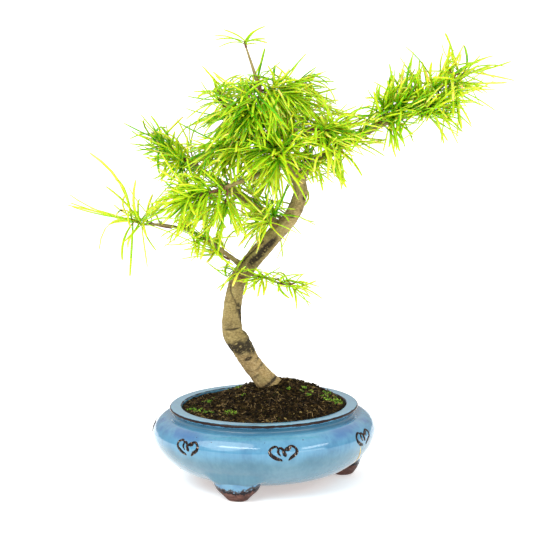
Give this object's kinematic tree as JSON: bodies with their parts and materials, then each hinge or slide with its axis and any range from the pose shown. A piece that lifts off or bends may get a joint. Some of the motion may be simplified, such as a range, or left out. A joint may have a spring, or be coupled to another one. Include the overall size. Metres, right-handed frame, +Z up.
{
  "type": "bonsai tree",
  "caption": "Golden larch bonsai with a curved trunk and airy tufts of soft needles, in a round blue glazed pot on feet.",
  "frame": {"origin": "middle of the whole object's base, on the plane that the pot's feet stand on", "axes": "+Z up, -Y the front of the tree, +X to the right, where the long bough reaches"},
  "size_m": [0.4398, 0.2496, 0.4582],
  "materials": {
    "glaze": "glossy blue glaze, breaking brown at the rim and the feet",
    "soil": "dark moist potting soil with fibres and moss",
    "bark": "olive-tan bark, rough",
    "needles": "soft yellow-green needles with golden tips"
  },
  "bodies": {
    "root": {"back_left_bough": "bark", "back_left_needles": "needles", "back_low_bough": "bark", "back_low_needles": "needles", "back_right_bough": "bark", "back_right_needles": "needles", "back_upper_bough": "bark", "back_upper_needles": "needles", "centre_left_bough": "bark", "centre_left_needles": "needles", "centre_right_needles": "needles", "front_hanging_needles": "needles", "front_left_bough": "bark", "front_left_needles": "needles", "front_low_needles": "needles", "front_needles": "needles", "front_side_needles": "needles", "leader_needles": "needles", "left_bough": "bark", "left_tip_needles": "needles", "left_under_needles": "needles", "lower_front_needles": "needles", "lower_left_bough": "bark", "lower_left_needles": "needles", "lower_left_outer_bough": "bark", "lower_left_tip_needles": "needles", "lower_right_bough": "bark", "lower_right_needles": "needles", "pot": "glaze", "right_bough": "bark", "right_front_bough": "bark", "right_front_needles": "needles", "right_hanging_needles": "needles", "right_inner_needles": "needles", "right_low_bough": "bark", "right_low_needles": "needles", "right_middle_needles": "needles", "right_outer_bough": "bark", "right_tip_needles": "needles", "soil": "soil", "top_low_needles": "needles", "top_needles": "needles", "top_right_needles": "needles", "trunk": "bark", "trunk_back_needles": "needles", "trunk_needles": "needles", "upper_left_bough": "bark", "upper_left_front_needles": "needles", "upper_left_needles": "needles", "upper_right_bough": "bark", "upper_right_needles": "needles", "window_bough": "bark", "window_needles": "needles"}
  },
  "joints": []
}
